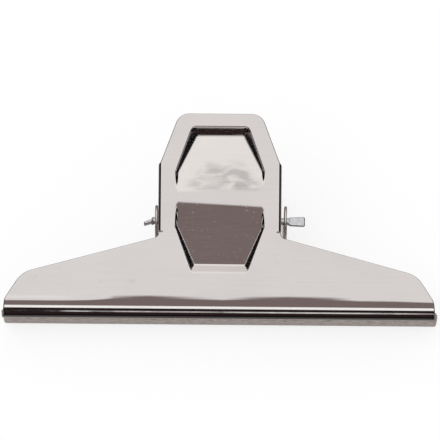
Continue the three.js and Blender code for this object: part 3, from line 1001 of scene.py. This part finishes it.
def pin_steel():
    """Zinc plate over a hammered pin: cool grey crystals and shallow hammer marks."""
    material, tree, shader = shader_nodes("pin_zinc")
    place = node(tree, "ShaderNodeAttribute", attribute_name="pin_place").outputs["Vector"]
    zinc = spread(tree, noise(tree, place, (1.1, 1.6, 1.6), 5, 0.8), 0.32, 0.68, 0.0, 1.0)
    fine = spread(tree, noise(tree, place, (4, 9, 9), 3), 0.3, 0.7, 0.96, 1.04)
    colour = tinted(tree, zinc, ZINC_DARK, ZINC_LIGHT)
    tree.links.new(scaled(tree, colour, fine), shader.inputs["Base Color"])
    tree.links.new(spread(tree, zinc, 0.0, 1.0, 0.32, 0.2), shader.inputs["Roughness"])
    raised(tree, shader, noise(tree, place, (0.9, 0.9, 0.9), 1), HAMMER_HEIGHT)
    return material


NICKEL = nickel()
PIN_STEEL = pin_steel()
WIRE = wire_steel()

# The pieces

front_jaw = Jaw(
    [
        (HEAD_TOP_HALF, HEAD_TOP, HEAD_CORNER_R),
        (SIDE_HALF - BEND_R / 2, FLANGE_TOP, 0),
    ],
    SIDE_HALF,
    FLANGE_TOP,
    uneven=RIPPLE,
)
rear_half = SIDE_HALF - REAR_HEAD_INSET
rear_jaw = Jaw(
    [
        (HEAD_TOP_HALF - REAR_HEAD_INSET, HEAD_TOP, HEAD_CORNER_R),
        (rear_half, SIDE_TOP, SIDE_TOP_R),
        (rear_half, REAR_ROOT_TOP + REAR_ROOT_RISE, REAR_ROOT_R),
        (REAR_EAR_HALF - BEND_R, REAR_ROOT_TOP, 0),
    ],
    REAR_EAR_HALF,
    REAR_ROOT_TOP,
    # the rear lip carries a painted reflection of the floor
    painted_lip_reflection=True,
)

rear_matrix = Matrix.Translation(PIN_AT + Vector((SIDE_SHIFT, 0, 0)))
front_matrix = (
    Matrix.Translation(PIN_AT - Vector((SIDE_SHIFT, 0, 0)))
    @ Matrix.Rotation(WEDGE, 4, "X")
    @ Matrix.Rotation(math.pi, 4, "Y")
)

for name, jaw, matrix, body, cad_node in (
    ("front_jaw_sheet", front_jaw, front_matrix, "front_jaw", "front_jaw_plate"),
    ("rear_jaw_sheet", rear_jaw, rear_matrix, "rear_jaw", "rear_jaw_plate"),
):
    places, normals, loops, blank, cut = jaw.mesh()
    piece = make_mesh(name, places, loops, matrix, NICKEL, normals)
    add_attribute(piece, "blank", np.column_stack((blank, np.zeros(len(blank)))) / MM)
    add_attribute(piece, "cut", cut)
    for mark, values in jaw.marks(blank[:, 0], blank[:, 1]).items():
        add_attribute(piece, mark, values)
    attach(piece, body)
    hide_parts(cad_node)

pin_matrix = Matrix.Translation(PIN_AT)
line = spring_line()
for name, cad_node, mirror in (
    ("right_torsion_spring", "right_spring", 1),
    ("left_torsion_spring", "left_spring", -1),
):
    places, normals, loops, drawn = tube(line, WIRE_R, WIRE_SIDES, WIRE_CHAMFER)
    places, normals = places * (mirror, 1, 1), normals * (mirror, 1, 1)
    if mirror < 0:
        loops = [f[::-1] for f in loops]
    piece = make_mesh(name, places, loops, pin_matrix, WIRE, normals)
    add_attribute(piece, "drawn", drawn / MM)
    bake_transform(piece)
    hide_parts(cad_node)

places, loops = pin_mesh()
pin = make_mesh("hammered_pin", places, loops, pin_matrix, PIN_STEEL)
add_attribute(pin, "pin_place", places / MM)
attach(pin, "pin")
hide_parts("hinge_pin")

# Studio: what the metal mirrors is a dome that only glossy rays see


def mix(a, b, t):
    """The colour at a share of the way between two."""
    return tuple(a[i] + (b[i] - a[i]) * t for i in range(3))


def profile_at(stops, elevation):
    """The colour of a list of stops (elevation, colour) at an elevation, changing smoothly between them."""
    for (low, first), (high, second) in zip(stops, stops[1:]):
        if elevation <= high:
            t = min(max((elevation - low) / (high - low), 0), 1)
            return mix(first, second, t)
    return stops[-1][1]


def passed(limits, value):
    """How far a value has gone from the first limit to the second."""
    return float(smoothstep(*limits, value))


def near_to(value, middle, full, end):
    """1 up to a distance from the middle, and 0 from a second distance on."""
    return passed((-end, -full), -abs(value - middle))


def room_colour(x, y, z):
    """What lies in a direction from the clip."""
    elevation = math.degrees(math.asin(max(-1, min(1, z))))
    azimuth = math.degrees(math.atan2(x, -y))
    away = math.degrees(math.atan2(abs(x), -y))

    front = profile_at(FRONT_PROFILE, elevation)
    strip = near_to(elevation, LIP_LIGHT_AT, LIP_LIGHT_FULL, LIP_LIGHT_END)
    front = mix(front, LIP_LIGHT, strip * LIP_LIGHTS.get(round(azimuth), 0))
    if 0 < elevation < WHITE_BAND_TOP:
        front = mix(front, BLACK, passed(WHITE_BAND_FADE, away))

    side = profile_at(SIDE_PROFILE, elevation)
    middle, height = SIDE_LIGHT_AT
    lit = near_to(elevation, height, SIDE_LIGHT_HIGH - SIDE_LIGHT_EDGE, SIDE_LIGHT_HIGH)
    lit *= near_to(away, middle, SIDE_LIGHT_WIDE - SIDE_LIGHT_EDGE, SIDE_LIGHT_WIDE)
    side = mix(side, SIDE_LIGHT, lit)
    under = passed(UNDERSIDE_FROM, away) * passed(UNDERSIDE_BELOW, -elevation)
    side = mix(side, GREY, under)

    colour = mix(front, side, passed(TO_SIDE, away))
    colour = mix(colour, profile_at(STREAK_PROFILE, elevation), passed(TO_STREAK, away))
    return mix(colour, profile_at(BACK_PROFILE, elevation), passed(TO_BACK, away))


def dome():
    """A large sphere that glows with the room's colours."""
    columns = 2 * DOME_STEPS
    places, faces = [], []
    for i in range(DOME_STEPS + 1):
        elevation = math.radians(-90 + 180 * i / DOME_STEPS)
        flat = math.cos(elevation)
        for j in range(columns):
            azimuth = math.radians(360 * j / columns)
            places.append((flat * math.cos(azimuth), flat * math.sin(azimuth), math.sin(elevation)))
    for i in range(DOME_STEPS):
        a, b = i * columns, (i + 1) * columns
        for j in range(columns):
            k = (j + 1) % columns
            faces.append((a + j, b + j, b + k, a + k))
    mesh = bpy.data.meshes.new("mirror_dome")
    mesh.from_pydata([tuple(c * DOME_RADIUS for c in p) for p in places], [], faces)
    colours = [(*room_colour(*p), 1) for p in places]
    layer = mesh.color_attributes.new("glow", "FLOAT_COLOR", "POINT")
    layer.data.foreach_set("color", np.array(colours, np.float32).ravel())
    material = bpy.data.materials.new("mirror_dome")
    material.use_nodes = True
    tree = material.node_tree
    tree.nodes.clear()
    glow = node(tree, "ShaderNodeAttribute", attribute_name="glow")
    emission = node(tree, "ShaderNodeEmission")
    output = node(tree, "ShaderNodeOutputMaterial")
    tree.links.new(glow.outputs["Color"], emission.inputs["Color"])
    tree.links.new(emission.outputs[0], output.inputs["Surface"])
    mesh.materials.append(material)
    made = linked("mirror_dome", mesh)
    made.location = PIN_AT
    made.visible_camera = False
    made.visible_diffuse = False
    made.visible_transmission = False
    made.visible_volume_scatter = False
    made.visible_shadow = False
    return made


def floor():
    """A pale floor just under the clip, most of which the camera sees as plain white, so that only a faint
    shadow is left."""
    mesh = bpy.data.meshes.new("floor")
    half = FLOOR_HALF
    corners = [(-half, -half, 0), (half, -half, 0), (half, half, 0), (-half, half, 0)]
    mesh.from_pydata(corners, [], [(0, 1, 2, 3)])
    material, tree, shader = shader_nodes("floor")
    shader.inputs["Metallic"].default_value = 0
    shader.inputs["Base Color"].default_value = (*FLOOR_COLOUR, 1)
    shader.inputs["Roughness"].default_value = 1
    shader.inputs["Specular IOR Level"].default_value = 0
    light_path = node(tree, "ShaderNodeLightPath")
    plain = node(tree, "ShaderNodeEmission")
    mixed = node(tree, "ShaderNodeMixShader")
    seen = times(tree, light_path.outputs["Is Camera Ray"], FLOOR_WHITE)
    tree.links.new(seen, mixed.inputs[0])
    tree.links.new(shader.outputs[0], mixed.inputs[1])
    tree.links.new(plain.outputs[0], mixed.inputs[2])
    tree.links.new(mixed.outputs[0], tree.nodes["Material Output"].inputs["Surface"])
    mesh.materials.append(material)
    made = linked("floor", mesh)
    made.location = (0, 0, -FLOOR_DROP)
    made.visible_glossy = False
    return made


dome()
floor()

world = bpy.data.worlds.new("studio")
bpy.context.scene.world = world
world.use_nodes = True
world.cycles_visibility.glossy = False  # the metal mirrors the dome and nothing behind it
sky = world.node_tree
rays = node(sky, "ShaderNodeLightPath").outputs
seen = maths(sky, "MAXIMUM", rays["Is Camera Ray"], rays["Is Glossy Ray"])
seen = maths(sky, "MAXIMUM", seen, rays["Is Transmission Ray"])
sky.links.new(tinted(sky, seen, WORLD_LIGHT, (1, 1, 1)), sky.nodes["Background"].inputs["Color"])

lamp_data = bpy.data.lights.new("softbox", "AREA")
lamp_data.shape = "RECTANGLE"
lamp_data.size, lamp_data.size_y = LAMP_SIZE
lamp_data.energy = LAMP_POWER
lamp = linked("softbox", lamp_data)
lamp.location = LAMP_AT
lamp.rotation_mode = "QUATERNION"
lamp.rotation_quaternion = (Vector(LAMP_AT) - PIN_AT).to_track_quat("Z", "Y")
lamp.visible_glossy = False

# Camera, square to the front jaw

camera_data = bpy.data.cameras.new("camera")
camera_data.lens = CAMERA_LENS
camera = linked("camera", camera_data)
back = Vector((0, -math.cos(CAMERA_ELEVATION), math.sin(CAMERA_ELEVATION)))
up = Vector((0, math.sin(CAMERA_ELEVATION), math.cos(CAMERA_ELEVATION)))
aim = PIN_AT + up * AIM_ABOVE_PIN + Vector((AIM_RIGHT_OF_PIN, 0, 0))
camera.location = aim + back * CAMERA_DISTANCE
camera.rotation_mode = "QUATERNION"
roll = Matrix.Rotation(CAMERA_ROLL, 3, back).to_quaternion()
camera.rotation_quaternion = roll @ back.to_track_quat("Z", "Y")
bpy.context.scene.camera = camera
bpy.context.scene.view_settings.view_transform = "Standard"
